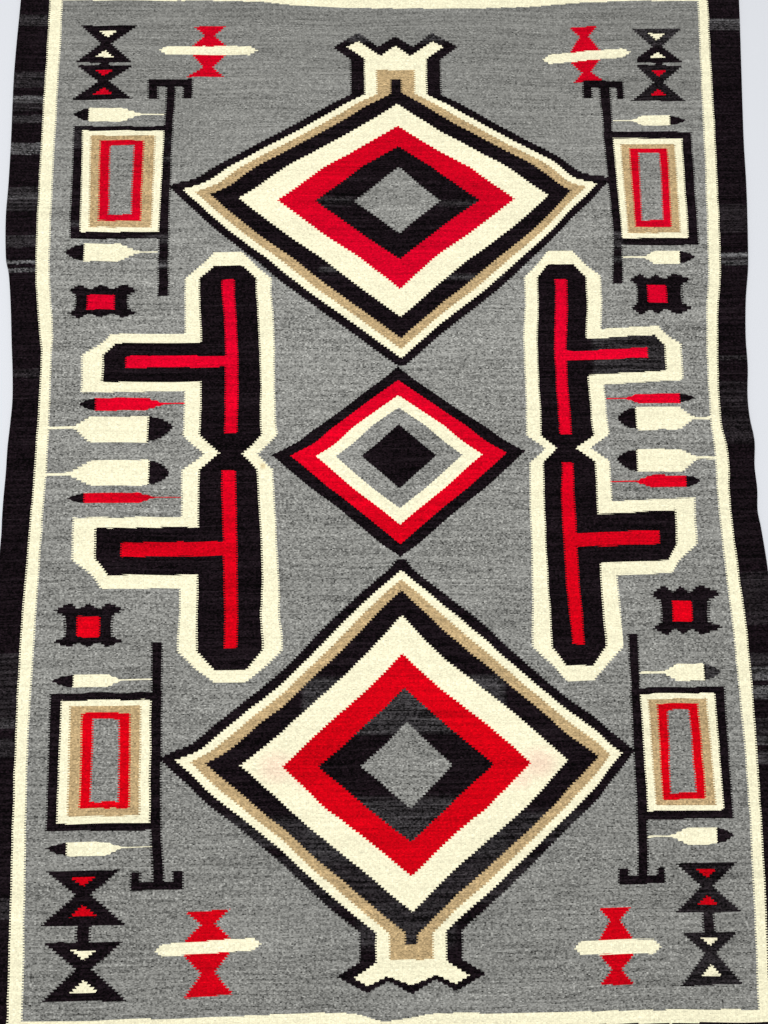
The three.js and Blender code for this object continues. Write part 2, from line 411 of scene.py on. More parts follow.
def between(place, lines, names):
    """Each named line at a place along the rug, straight between the rows and level past them."""
    order = sorted(lines, key=lambda row: row["at"])
    at = [row["at"] for row in order]
    return [np.interp(place, at, [row[name] for row in order]) for name in names]


def warped(place, row, names, charted):
    """A place warped from a row's named lines to the charted ones."""
    return warp(place, [row[name] for name in names.split()], charted)


def top_height(x, y, sheet):
    """The sheet's thickness, plus one bell-shaped ridge along the crease and the rounded swells."""
    t = (y - CREASE_START[1]) / (CREASE_END[1] - CREASE_START[1])
    line = CREASE_START[0] + (CREASE_END[0] - CREASE_START[0]) * np.clip(t, 0, 1)
    fade = np.clip(t * 2.5, 0, 1)
    fade = fade * fade * (3 - 2 * fade)
    height = sheet + CREASE_HEIGHT * fade * np.exp(-(((x - line) / CREASE_HALF_WIDTH) ** 2))
    for swell in rows_of(SWELLS):
        u = (x - swell["across"]) / swell["reach_across"]
        v = (y - swell["along"]) / swell["reach_along"]
        height = height + swell["height"] * np.exp(-(u * u + v * v))
    return height


def stops(cells, size):
    """Places 0 to 1 along one side: a narrow strip at each end and even cells between."""
    strip = EDGE_STRIP / size
    return np.concatenate(([0], np.linspace(strip, 1 - strip, cells - 1), [1]))


def sheet_plan(across, along, bulge):
    """The flat plan on a grid: the ends bow in by a parabola, the sides follow their stations."""
    s, t = np.meshgrid(stops(across, MEAN_WIDTH), stops(along, LENGTH))
    bow = 1 - (2 * s - 1) ** 2
    low = EDGES["along"][0] + bulge + LOW_END_BOW * bow
    high = EDGES["along"][-1] - bulge - HIGH_END_BOW * bow
    y = low + (high - low) * t
    left = hermite(y, EDGES["along"], EDGES["left"]) + bulge
    right = hermite(y, EDGES["along"], EDGES["right"]) - bulge
    x = left + (right - left) * s
    corner = np.isin(s, (0, 1)) & np.isin(t, (0, 1))
    x = x - corner * CORNER_EASE * (2 * s - 1)
    y = y - corner * CORNER_EASE * (2 * t - 1)
    return x, y


def woven_sheet(sizes):
    """One closed sheet: a top and an underside on the plan's grid, joined all round by a rim whose
    section is half a squared ellipse. Gives the points in millimetres and the faces."""
    rows, columns = sizes.cells_along + 1, sizes.cells_across + 1
    thick, bulge = sizes.thickness / MM, sizes.bound_edge / MM
    x, y = sheet_plan(sizes.cells_across, sizes.cells_along, bulge)
    top = np.stack((x, y, top_height(x, y, thick)), -1)
    under = np.stack((x, y, np.zeros_like(x)), -1)
    index = np.arange(rows * columns).reshape(rows, columns)
    a, b, c, d = index[:-1, :-1], index[:-1, 1:], index[1:, 1:], index[1:, :-1]
    upper = np.stack((a, b, c, d), -1).reshape(-1, 4)
    lower = np.stack((d, c, b, a), -1).reshape(-1, 4) + rows * columns

    ring = np.concatenate((index[0, :-1], index[:-1, -1], index[-1, :0:-1], index[:0:-1, 0]))
    edge = top.reshape(-1, 3)[ring]
    along = np.roll(edge, -1, 0) - np.roll(edge, 1, 0)
    out = np.stack((along[:, 1], -along[:, 0], np.zeros(len(ring))), -1)
    out /= np.linalg.norm(out, axis=1)[:, None]
    turn = np.linspace(0, math.pi, sizes.rim_steps + 1)[1:-1, None, None]
    level = 0.5 + 0.5 * np.cos(turn)
    rim = edge[None] * (1, 1, 0) + out[None] * bulge * np.sin(turn) ** 0.6
    rim = rim + level * edge[None] * (0, 0, 1)
    points = np.concatenate((top.reshape(-1, 3), under.reshape(-1, 3), rim.reshape(-1, 3)))

    first = 2 * rows * columns
    steps = [ring]
    steps += [first + len(ring) * k + np.arange(len(ring)) for k in range(sizes.rim_steps - 1)]
    steps += [ring + rows * columns]
    bands = [
        np.stack((p, q, np.roll(q, -1), np.roll(p, -1)), -1) for p, q in zip(steps, steps[1:])
    ]
    return points, np.concatenate([upper, lower, *bands])


# Each figure's own coordinates, at the four corners of every face


def stripe_places(x, y):
    """How far inside the stripe's outer and inner lines a point lies, sideways and endways."""
    outer, inner = [], []
    for name, found in (("outer", outer), ("inner", inner)):
        left = hermite(y, LEFT_STRIPE["along"], LEFT_STRIPE[name])
        right = hermite(y, RIGHT_STRIPE["along"], RIGHT_STRIPE[name])
        high = hermite(x, HIGH_STRIPE["across"], HIGH_STRIPE[name])
        low = hermite(x, LOW_STRIPE["across"], LOW_STRIPE[name])
        found += [np.where(x < 0, x - left, right - x), np.where(y < 0, y - low, high - y)]
    return outer, inner


def diamond_places(x, y, chart_of, bands):
    """Signed shares of the way to the four tips, whose sum without signs is a diamond's level. Each
    side is hollowed by a share of the product of the two."""
    across, along = chart_of["middle"]
    left, right, up, down = [chart_of[name] for name in ("left", "right", "up", "down")]
    height = np.clip((y - along) * 2 / up[-1], 0, 1)
    dx = x - across
    dx = dx - chart_of["lean"] * height * np.exp(-((dx / LEAN_REACH) ** 2))
    to_left, charted = dx < 0, (0, *bands)
    p = np.where(to_left, -warp(-dx, (0, *left), charted), warp(dx, (0, *right), charted))
    rise = np.where(to_left, chart_of["left_rise"], chart_of["right_rise"])
    dy = y - along - rise * np.clip(p, -1, 1) ** 4
    (left_sag, left_reach), (right_sag, right_reach) = chart_of["left_sag"], chart_of["right_sag"]
    reach = np.where(to_left, left_reach, right_reach)
    sag = np.where(to_left, left_sag, right_sag) * np.exp(-(((abs(p) - SAG_AT) / reach) ** 2))
    dy = dy + sag * np.clip(dy / SAG_FADE, 0, 1)
    p = past_tips(p, -left[-1] - dx, dx - right[-1], WIDE_SLOPE)
    q = np.where(dy < 0, -warp(-dy, (0, *down), charted), warp(dy, (0, *up), charted))
    q = past_tips(q, -down[-1] - dy, dy - up[-1], TALL_SLOPE)
    below, above = [np.where(to_left, *pair) for pair in chart_of["hollow"]]
    hollow = np.where(dy < 0, below, above) * 4 * abs(p) / np.maximum(abs(p) + abs(q), 0.01)
    return p, q * (1 + hollow)


def past_tips(share, before, after, slope):
    """Past a tip the share goes on evenly: by one over this many millimetres."""
    after_tip = np.where(after > 0, 1 + after / slope, share)
    return np.where(before > 0, -1 - before / slope, after_tip)


def box_places(x, y, side, half):
    """A box and its pole: outward and far places, warped from the woven lines to the chart."""
    out, far = x * side, y * half
    pole = between(far, rows_of(POLE_ACROSS, side=side, half=half), ("inner", "outer"))
    names = ("tan_in", "red_in", "grey_in", "grey", "red", "tan", "cream", "border")
    lines = pole + between(far, rows_of(BOX_ACROSS, side=side, half=half), names)
    row = rows_of(BOX_ALONG, side=side, half=half)[0]
    names = "pole_in border_in cream_in tan_in red_in grey_in "
    names += "grey red tan cream border prong bar pole_far"
    v = warped(far, row, names, CHARTED_BOX_ALONG)
    return side * warp(out, lines, CHARTED_BOX_ACROSS), half * v


def branch_places(x, y, side, half):
    """A branched figure: outward from its own bar and away from the waist, warped to the chart."""
    waist = rows_of(WAIST, side=side)[0]["along"]
    out, far = x * side, (y - waist) * half
    row = rows_of(BRANCH_ALONG, side=side, half=half)[0]
    names = "cream_in black_in red_in red black cream".split()
    lines = between(y * half, rows_of(BRANCH_ACROSS, side=side, half=half), names)
    lines += [row["out_red"], row["out_black"], row["out_cream"]]
    far = far - row["arm_rise"] * np.maximum(out - lines[4], 0)
    names = "waist red_in arm_cream_in arm_black_in arm_red_in "
    names += "arm_red arm_black arm_cream red black cream"
    v = warped(far, {"waist": 0.0, **row}, names, CHARTED_BRANCH_ALONG)
    return side * warp(out, lines, CHARTED_BRANCH_ACROSS), half * v


def cell_of(cx, cy, left, right, low, high):
    """The faces whose middles lie inside an oblong."""
    return (cx > left) & (cx < right) & (cy > low) & (cy < high)


def figure_places(x, y, cx, cy):
    """The layer of boxes and branched figures: two places and the kind, by each face's middle."""
    u, v, kind = np.zeros_like(x), np.zeros_like(x), np.zeros(len(x))
    for side in (-1, 1):
        for half in (-1, 1):
            here = (cx * side > 0) & ((cy - WAIST_SPLIT) * half > 0)
            out, far = cx * side, cy * half
            box = here & cell_of(out, far, BOX_NEAR, BOX_OUT, BOX_FIRST[half], BOX_LAST)
            box &= (out > BOX_GAP[side]) | (far > BRANCH_FAR)
            branch = here & ~box & (out > BRANCH_NEAR) & (far < BRANCH_FAR) & (out < BRANCH_OUT)
            u[box], v[box] = box_places(x[box], y[box], side, half)
            u[branch], v[branch] = branch_places(x[branch], y[branch], side, half)
            kind[box], kind[branch] = BOX, BRANCH
    return u, v, kind


def charm_places(x, y, cx, cy):
    """The layer of feathers, hourglasses, hides and stacks, each in a cell of its own."""
    u, v, kind = np.zeros_like(x), np.zeros_like(x), np.zeros(len(x))
    for f in rows_of(FEATHERS):
        side = f["side"]
        first, last = sorted((f["tip"], f["end"]))
        room = CLOSE_ROOM if side > 0 and 10 < abs(f["spine"]) < 30 else FEATHER_ROOM
        cell = cell_of(cx * side, cy, first - 1, last + 3, f["low"] - room, f["high"] + room)
        names, charted = "end quill taper body tip", CHARTED_FEATHER
        if f["kind"] < 0:
            names, charted = "tip body taper quill end", charted[::-1]
        u[cell] = warped(x[cell] * side, f, names, charted) * side * np.sign(f["kind"])
        v[cell] = warped(y[cell], f, "low spine high", (-FEATHER_HALF, 0, FEATHER_HALF))
        kind[cell] = f["kind"]
    for g in rows_of(HOURGLASSES):
        room = HOURGLASS_ROOM
        cell = (cx > g["left_low"] - room) & (cx < g["right_low"] + room) & (cy < g["high"] + 3)
        post = abs(cx - (g["left_low"] + g["right_low"]) / 2) < POST_ROOM
        cell &= (cy > g["low"] - 3) | (post & (cy > g["low"] - g["post"]))
        high = np.clip((y[cell] - g["low"]) / (g["high"] - g["low"]), 0, 1)
        left = g["left_low"] + (g["left_high"] - g["left_low"]) * high
        right = g["right_low"] + (g["right_high"] - g["right_low"]) * high
        wide, tall = HOURGLASS_HALF
        u[cell] = warp(x[cell], (left, right), (-wide, wide))
        v[cell] = warped(y[cell], g, "low waist high", (-tall, 0, tall))
        kind[cell] = g["kind"] + (POST_BELOW if g["post"] else POST_ABOVE)
    room = CHARM_ROOM
    for h in rows_of(HIDES):
        low, high = h["low"] - room, h["high"] + room
        cell = cell_of(cx, cy, h["left"] - room, h["right"] + room, low, high)
        names = "left body_left red_left red_right body_right right"
        u[cell] = warped(x[cell], h, names, CHARTED_HIDE_ACROSS)
        v[cell] = warped(y[cell], h, "low red_low red_high high", CHARTED_HIDE_ALONG)
        kind[cell] = HIDE
    for s in rows_of(STACKS):
        low, high = s["low"] - room, s["high"] + room
        cell = cell_of(cx, cy, s["bar_left"] - room, s["bar_right"] + room, low, high)
        down = np.clip((s["bar_low"] - y[cell]) / (s["bar_low"] - s["low"]), 0, 1) ** 2
        left, right = s["left"] - s["left_out"] * down, s["right"] + s["right_out"] * down
        lines = (s["bar_left"], left, right, s["bar_right"])
        u[cell] = warp(x[cell], lines, CHARTED_STACK_ACROSS)
        slant = s["slope"] * (x[cell] - (s["left"] + s["right"]) / 2)
        names = "low pinch_low bar_low bar_high pinch high"
        v[cell] = warped(y[cell] - slant, s, names, CHARTED_STACK_ALONG)
        kind[cell] = STACK
    return u, v, kind


def pale_wool(x, y):
    """How far the figures' dark wool is paler here: the strongest of the charted patches, each
    fading over a few millimetres at its ends."""
    lift = np.zeros_like(x)
    for patch in rows_of(PALE_PATCHES):
        across = np.minimum(x - patch["left"], patch["right"] - x)
        along = np.minimum(y - patch["low"], patch["high"] - y)
        inside = np.clip(across / 8, 0, 1) * np.clip(along / 4, 0, 1)
        lift = np.maximum(lift, inside * patch["lift"])
    return lift


def bled(x, y):
    """How far the cream is tinted by red dye here: each stain is a bowl that ends at its reach."""
    strength = np.zeros_like(x)
    for stain in rows_of(STAINS, kind=0):
        u = (x - stain["across"]) / stain["reach_across"]
        v = (y - stain["along"]) / stain["reach_along"]
        strength += np.maximum(1 - u * u - v * v, 0) * stain["strength"]
    return strength


def write_places(mesh, name, *parts):
    """Three numbers at each corner of each face, under one name that the wool reads."""
    parts = [np.broadcast_to(p if p.ndim == 2 else p[:, None], parts[0].shape) for p in parts]
    layer = mesh.attributes.new(name, "FLOAT_VECTOR", "CORNER")
    layer.data.foreach_set("vector", np.stack(parts, -1).astype(np.float32).ravel())


def chart_pattern(mesh, points, faces):
    """Writes every figure's places on the mesh, so the wool's colours follow the charts."""
    x, y = points[faces][..., 0], points[faces][..., 1]
    cx, cy = x.mean(1), y.mean(1)
    outer, inner = stripe_places(x, y)
    write_places(mesh, "stripe_outer", *outer, pale_wool(x, y))
    write_places(mesh, "stripe_inner", *inner, bled(x, y))
    which = np.where(cy > HIGH_SPLIT, 1, np.where(cy < LOW_SPLIT, -1, 0))
    p, q = np.zeros_like(x), np.zeros_like(x)
    for number, of, bands in (
        (1, HIGH_DIAMOND, LARGE_BANDS),
        (-1, LOW_DIAMOND, LARGE_BANDS),
        (0, MIDDLE_DIAMOND, SMALL_BANDS),
    ):
        here = which == number
        p[here], q[here] = diamond_places(x[here], y[here], of, bands)
    write_places(mesh, "diamond", p, q, which)
    write_places(mesh, "figure", *figure_places(x, y, cx, cy))
    write_places(mesh, "charm", *charm_places(x, y, cx, cy))


# Shader maths


def linear(colour):
    """A screen colour, 0 to 1, as the light it stands for."""
    values = [c / 12.92 if c <= 0.04045 else ((c + 0.055) / 1.055) ** 2.4 for c in colour]
    return (*values, 1.0)


class Strand:
    """One value that runs through the wool's shader. A sum on it adds a Math node."""

    def __init__(self, loom, socket):
        self.loom = loom
        self.socket = socket

    def equals(self, number):
        return self.loom.math("COMPARE", self, number, 0.4)

    def share(self):
        return self.loom.node("Clamp", {}, {"Value": self})


def math_method(operation, swapped=False):
    """A method that joins a value and others by one Math node, the other way round if swapped."""

    def method(*values):
        return values[0].loom.math(operation, *(values[::-1] if swapped else values))

    return method


OPERATIONS = {
    "__add__": "ADD",
    "__sub__": "SUBTRACT",
    "__mul__": "MULTIPLY",
    "__truediv__": "DIVIDE",
    "__lt__": "LESS_THAN",
    "__gt__": "GREATER_THAN",
    "__abs__": "ABSOLUTE",
    "floor": "FLOOR",
    "sign": "SIGN",
    "at_least": "MAXIMUM",
    "at_most": "MINIMUM",
}
for method_name, math_operation in OPERATIONS.items():
    setattr(Strand, method_name, math_method(math_operation))
Strand.__radd__ = math_method("ADD", swapped=True)
Strand.__rsub__ = math_method("SUBTRACT", swapped=True)


# A ramp's last step starts at this share of it, and the border's ramp covers this far each way

RAMP_SHARE = 0.98
RAMP_REACH = 1000


class Loom:
    """Adds nodes to one material."""

    def __init__(self, material):
        material.use_nodes = True
        self.tree = material.node_tree

    def node(self, kind, settings=(), sockets=(), out=0):
        """One node: its settings first, then the values or links of its sockets."""
        made = self.tree.nodes.new("ShaderNode" + kind)
        for name, value in dict(settings).items():
            if name == "stops":
                self.set_stops(made.color_ramp, value)
            elif name == "steps":
                made.color_ramp.interpolation = value
            else:
                setattr(made, name, value)
        for name, value in dict(sockets).items():
            if isinstance(value, Strand):
                self.tree.links.new(value.socket, made.inputs[name])
            else:
                made.inputs[name].default_value = value
        return Strand(self, made.outputs[out])

    def set_stops(self, ramp, wanted):
        while len(ramp.elements) > 1:
            ramp.elements.remove(ramp.elements[-1])
        for i, (place, colour) in enumerate(wanted):
            stop = ramp.elements[0] if i == 0 else ramp.elements.new(place)
            stop.position = place
            stop.color = colour

    def math(self, operation, *values):
        return self.node("Math", {"operation": operation}, dict(enumerate(values)))

    def vector(self, x, y):
        return self.node("CombineXYZ", {}, {0: x, 1: y})

    def parts(self, strand):
        split = self.node("SeparateXYZ", {}, {0: strand}).socket.node
        return [Strand(self, socket) for socket in split.outputs]

    def places(self, name):
        found = self.node("Attribute", {"attribute_name": name}, {}, "Vector")
        return self.parts(found)

    def speckle(self, x, y):
        """An even random number, 0 to 1, for each whole pair."""
        pair = {"Vector": self.vector(x, y)}
        return self.node("TexWhiteNoise", {"noise_dimensions": "2D"}, pair, "Value")

    def cloud(self, x, y, detail=1.0, out="Fac"):
        """Soft noise of about one unit's size, 0 to 1."""
        return self.node(
            "TexNoise",
            {"noise_dimensions": "2D"},
            {"Vector": self.vector(x, y), "Scale": 1.0, "Detail": detail, "Roughness": 0.5},
            out,
        )

    def mix(self, share, a, b):
        return self.node("Mix", {"data_type": "RGBA"}, {0: share, 6: a, 7: b}, 2)

    def ramp(self, place, stops_here, steps="CONSTANT"):
        """A colour ramp, with a number in place of a colour for a grey."""
        shades = [(p, c if isinstance(c, tuple) else (c, c, c, 1)) for p, c in stops_here]
        return self.node("ValToRGB", {"stops": shades, "steps": steps}, {"Fac": place})

    def profile(self, place, corners):
        """The height of a line through the corners (place, height), level past them."""
        first, last = corners[0][0], corners[-1][0]
        heights = [height for _, height in corners]
        low, high = min(heights), max(heights)
        reach, rise = last - first, high - low
        shades = [((p - first) / reach, float((h - low) / rise)) for p, h in corners]
        return self.ramp((place - first) / reach, shades, "LINEAR") * rise + low

    def bands(self, level, ends, values):
        """The value of the band that a level lies in: constant steps at the bands' ends."""
        starts = [0] + [end / ends[-1] for end in ends[:-1]] + [1.0]
        shades = [(p * RAMP_SHARE, v) for p, v in zip(starts, (*values, 0))]
        return self.ramp(level * (RAMP_SHARE / ends[-1]), shades)

    def stripes(self, place, rows):
        """The lift of the crosswise band that a place along the rug lies in, and none between."""
        shades = [(0.0, 0.0)]
        for row in sorted(rows, key=lambda band: band["low"]):
            start, end = [(row[name] + RAMP_REACH) / (2 * RAMP_REACH) for name in ("low", "high")]
            if abs(shades[-1][0] - start) < 1e-6:
                shades.pop()
            shades += [(start, float(row["lift"])), (end, 0.0)]
        return self.ramp((place + RAMP_REACH) / (2 * RAMP_REACH), shades)


# The wools' numbers: 0 is the grey ground and 4 is tan

BLACK, CREAM, RED = 1, 2, 3


# A box: the half sizes of its grey core, its bands' widths, where its cream, its black and the
# ground start, counted in bands, and its pole's forked end

BOX_CORE, BOX_BAND = (22, 68), (17, 10.5)
BOX_CREAM, BOX_BLACK, BOX_GROUND = 2, 2.88, 4.12
POLE_AT, POLE_HALF, POLE_START, POLE_END = -81, 10, -213, 205.5
FORK_BAR, FORK_HOOK, FORK_INSIDE, FORK_HALF = 191, 170, 24.5, 42


def draw_box(loom, u, v):
    """Nested oblongs by the larger of two levels, and a pole with a forked end."""
    (core_u, core_v), (band_u, band_v) = BOX_CORE, BOX_BAND
    level = ((abs(u) - core_u) / band_u).at_least((abs(v) - core_v) / band_v)
    box = (level > 0) * RED + (level > 1) - (level > BOX_CREAM) * 2
    box = box - (level > BOX_BLACK) - (level > BOX_GROUND)
    a = (u - POLE_AT) * -1
    a = a.at_least(a * -1.12)
    hook = (FORK_INSIDE - a).at_least(FORK_HOOK - v)
    fork = (a - FORK_HALF).at_least((FORK_BAR - v).at_most(hook))
    pole = (a - POLE_HALF).at_most(fork).at_least(v - POLE_END).at_least(POLE_START - v)
    return box.at_least(pole < 0)


# A branched figure: the red cores of its bar and its arm, the widths of the black bands round them,
# the bar's narrowing at the waist, its cut corners, and where cream, black and red end, in bands

BAR_CORE, ARM_CORE = (12.5, 330), (192, 180)
ARM_MIDDLE, ARM_HALF, ARM_BAND = 168, 12, 23.5
BRANCH_BAND, END_BAND = 39, 27
NECK_FROM, NECK_SLOPE = 33, 1.03
CUT_SLOPE, CUT_START = 0.0257, 0.054
TO_CREAM, TO_BLACK, TO_RED = 1.7, 1.045, -0.045


def draw_branches(loom, u, v):
    """An upright bar and one arm: each a level from its red core, with cut far corners."""
    w = abs(v)
    wide = abs(u) + (NECK_FROM - w).at_least(0) * NECK_SLOPE
    ex, ey = wide - BAR_CORE[0], w - BAR_CORE[1]
    end = (ey / END_BAND).at_most(ey * 0.0248 + 0.33)
    bar = (ex / BRANCH_BAND).at_least(end).at_least((ex + ey) * CUT_SLOPE - CUT_START)
    ax, ay = u - ARM_CORE[0], w - ARM_CORE[1]
    thick = (abs(w - ARM_MIDDLE) - ARM_HALF) / ARM_BAND
    arm = (ax / BRANCH_BAND).at_least(u * -0.1).at_least(thick)
    arm = arm.at_least((ax + ay) * CUT_SLOPE - CUT_START)
    level = bar.at_most(arm)
    red = (level < TO_RED) * (w > 35)
    return (level < TO_CREAM) * CREAM - (level < TO_BLACK) + red * 2


# A feather's half height from the quill to the point, which is dark from this place on

QUILL = ((-101, 0), (-100, 2), (-62, 2.3), (-58, 4))
BODY = ((-40, 19), (-32, 20), (60, 20))
POINT = ((60.8, 19), (79, 15.5), (91, 8.5), (102, 0))
POINT_FROM = 60


def draw_feather(loom, u, v, kind):
    """A dark point, a full body that tapers, and a thin quill, by one half-height profile."""
    tip = u * kind.sign()
    half = loom.profile(tip, QUILL + BODY + POINT)
    dark = tip > POINT_FROM
    return (abs(v) < half) * ((abs(kind) + 1) * (1 - dark) + dark)


# An hourglass: how it widens from its waist, the small triangles in it, and its post

WAIST_HALF, TRIANGLE_SLOPE, TRIANGLE_END = 10, 42 / 37, 38.5
INSET_START, INSET_SLOPE, INSET_END = 13, 1.18, 27
POST_HALF, POST_START = 9, 36


def draw_hourglass(loom, u, v, kind):
    """Two triangles that meet, each with a small coloured triangle in it. A kind a tenth above a
    whole number has a post below it, and any other has the same post's end above it."""
    a, b = abs(u), abs(v)
    body = (a < b * TRIANGLE_SLOPE + WAIST_HALF) * (b < TRIANGLE_END)
    inset = (a < (b - INSET_START) * INSET_SLOPE) * (b < INSET_END)
    end = (kind - kind.floor() > 0.2) * 2 - 1
    post = (a < POST_HALF) * (v * end > POST_START)
    return body.at_least(post) + inset * (kind - 2)


# A hide's outline as heights and half widths, and its red middle

HIDE_TOP = ((0, 34), (18, 26), (25, 26), (35, 34), (42, 34), (58, 23))
HIDE_SIDE = ((0, 45.5), (14, 46.5), (23, 58), (35, 58))
HIDE_MIDDLE = (24, 14)


def draw_hide(loom, u, v):
    """A squared hide with pointed corners and a red middle."""
    a, b = abs(u), abs(v)
    top, side = loom.profile(a, HIDE_TOP), loom.profile(b, HIDE_SIDE)
    return (b < top) * (a < side) + (a < HIDE_MIDDLE[0]) * (b < HIDE_MIDDLE[1]) * 2


# A stack: its bar with points, and the triangles that meet in pinches above and below it

BAR_HALF, BAR_SLOPE, BAR_POINT = 9, 1.7, 92
PINCH_AT, PINCH_HALF, STACK_SLOPE, STACK_END = 33, 9, 0.97, 54.5


def draw_stack(loom, u, v):
    """Red triangles point to point, crossed by a pale bar with pointed ends."""
    a, b = abs(u), abs(v)
    bar = (b - BAR_HALF).at_least(a + b * BAR_SLOPE - BAR_POINT) < 0
    stack = (a < abs(b - PINCH_AT) * STACK_SLOPE + PINCH_HALF) * (b < STACK_END)
    return bar * CREAM + (1 - bar) * stack * RED


def draw_crown(loom, x, y, cream, black, neck, up):
    """The neck and its crown, as a level that takes the diamond's own bands."""
    a = abs(x - neck["across"])
    far = y * up
    start, top = neck["start"] * up, neck["top"] * up

    def arch(line, half, slack):
        """Under the crown's line, and between the neck's sides or over its sloping underside."""
        (reach, end), upper = line[-1], loom.profile(a, [(p, h * up) for p, h in line])
        lower = (a - half - slack) * ((end * up - top) / (reach - half)) + top
        return (far < upper) * (a < half).at_least((far > lower) * (a < reach))

    in_cream, in_black = arch(cream, CREAM_HALF, 0), arch(black, NECK_HALF, NECK_SLACK)
    beyond = far > start
    in_tan = (a < TAN_HALF) * (far < neck["tan"] * up)
    in_stub = (a < STUB_HALF) * (far < neck["stub"] * up)
    level = 2 - in_black.at_least(in_cream) * 1.02
    level = level - in_cream * 0.06 - in_cream * in_tan * 0.06 - in_cream * in_stub * 0.1
    return (1 - beyond) * 2 + beyond * level


def draw_diamonds(loom, p, q, which, x, y):
    """The nested diamonds by level, with the necks and crowns let into the two large ones."""
    level = abs(p) + abs(q)
    high = draw_crown(loom, x, y, HIGH_CROWN_CREAM, HIGH_CROWN_BLACK, HIGH_NECK, 1)
    low = draw_crown(loom, x, y, LOW_CROWN_CREAM, LOW_CROWN_BLACK, LOW_NECK, -1)
    crown = high.at_most(low)
    large = loom.bands(
        level.at_most(crown), LARGE_DRAWN, [c / 8 for c in (6, 1, 3, 2, 1, 4, 2, 1)]
    )
    small = loom.bands(level, SMALL_DRAWN, [c / 8 for c in (1, 6, 2, 3, 1)])
    middle = which.equals(0)
    return ((1 - middle) * large + middle * small) * 8


# The hand's unevenness, in millimetres: how large and how strong the wobbles of the colour lines,
# the slow waves of the rows and the single stitches' own shifts are

WOBBLE_SIZE, WOBBLE = 45, 2.5
WAVE_SIZE, WAVE = (260, 400), 14
JITTER_SIZE, JITTER = 41, 0.7


def weave_shift(loom, x, y, sizes):
    """How far each stitch sends a colour line: rows of picks, a tooth by row, and hand wobble."""
    pick, tooth = sizes.pick / MM, sizes.tooth / MM
    wobble = loom.cloud(x / WOBBLE_SIZE, y / WOBBLE_SIZE, 1.0, "Color")
    wander_x, wander_y, _ = loom.parts(wobble)
    rows_y = y + loom.cloud(x / WAVE_SIZE[0], y / WAVE_SIZE[1]) * WAVE
    row = (rows_y / pick).floor()
    odd = row - (row * 0.5).floor() * 2
    dy = (row + 0.5) * pick - rows_y + (wander_y - 0.5) * WOBBLE
    shifted = x + odd * tooth
    jitter = loom.speckle((x / JITTER_SIZE).floor(), row)
    dx = (odd - 0.5) * tooth + (jitter - 0.5) * JITTER + (wander_x - 0.5) * WOBBLE
    return dx, dy, row, shifted


def wool_pattern(loom, sizes):
    """The number of the wool at each stitch, and the stitch's own places."""
    spot = loom.node("TexCoord", {}, {}, "Object")
    x, y, _ = loom.parts(spot)
    x, y = x / MM, y / MM
    dx, dy, row, shifted = weave_shift(loom, x, y, sizes)
    side = (x > 0) * 2 - 1
    half = (y > WAIST_LINE) * 2 - 1

    outer_x, outer_y, lift = loom.places("stripe_outer")
    inner_x, inner_y, tint = loom.places("stripe_inner")
    go_x, go_y = dx * side * -1, dy * half * -1
    inside_outer = (outer_x + go_x).at_most(outer_y + go_y) > 1
    inside_inner = (inner_x + go_x).at_most(inner_y + go_y) > -1

    p, q, which = loom.places("diamond")
    shifted_p, shifted_q = p + dx / WIDE_SLOPE, q + dy / TALL_SLOPE
    diamonds = draw_diamonds(loom, shifted_p, shifted_q, which, x + dx, y + dy)

    u, v, kind = loom.places("figure")
    u, v = (u + dx) * side, (v + dy) * half
    figures = kind.equals(BOX) * draw_box(loom, u, v)
    figures = figures + kind.equals(BRANCH) * draw_branches(loom, u, v)

    u, v, kind = loom.places("charm")
    u, v = u + dx, v + dy
    feather = abs(kind)
    is_feather = (feather > 0.5) * (feather < 2.5)
    is_hourglass = (kind > 2.5) * (kind < 4.5)
    charms = is_feather * draw_feather(loom, u * side, v, kind)
    charms = charms + is_hourglass * draw_hourglass(loom, u, v, kind)
    charms = charms + kind.equals(HIDE) * draw_hide(loom, u, v)
    charms = charms + kind.equals(STACK) * draw_stack(loom, u, v)

    inner = diamonds + (diamonds < 0.5) * (figures + (figures < 0.5) * charms)
    inner = inner * (inner < 5.5)
    wool = inside_inner * inner + (1 - inside_inner) * (CREAM - (1 - inside_outer))
    left_bands = loom.stripes(y + dy, rows_of(LEFT_BANDS))
    right_bands = loom.stripes(y + dy, rows_of(RIGHT_BANDS))
    bands = left_bands + (x > 0) * (right_bands - left_bands)
    lift = inside_outer * lift + (1 - inside_outer) * bands
    return wool, lift, tint, x, y, row, shifted


# How strongly each wool shows its flecks, its streaks and its slow drift, in the wools' order

UNEVENNESS = (
    (1, 0.7, 0.35),
    (2.2, 2, 0.8),
    (0.3, 0.16, 0.12),
    (0.52, 0.55, 0.4),
    (0.7, 0.35, 0.2),
)


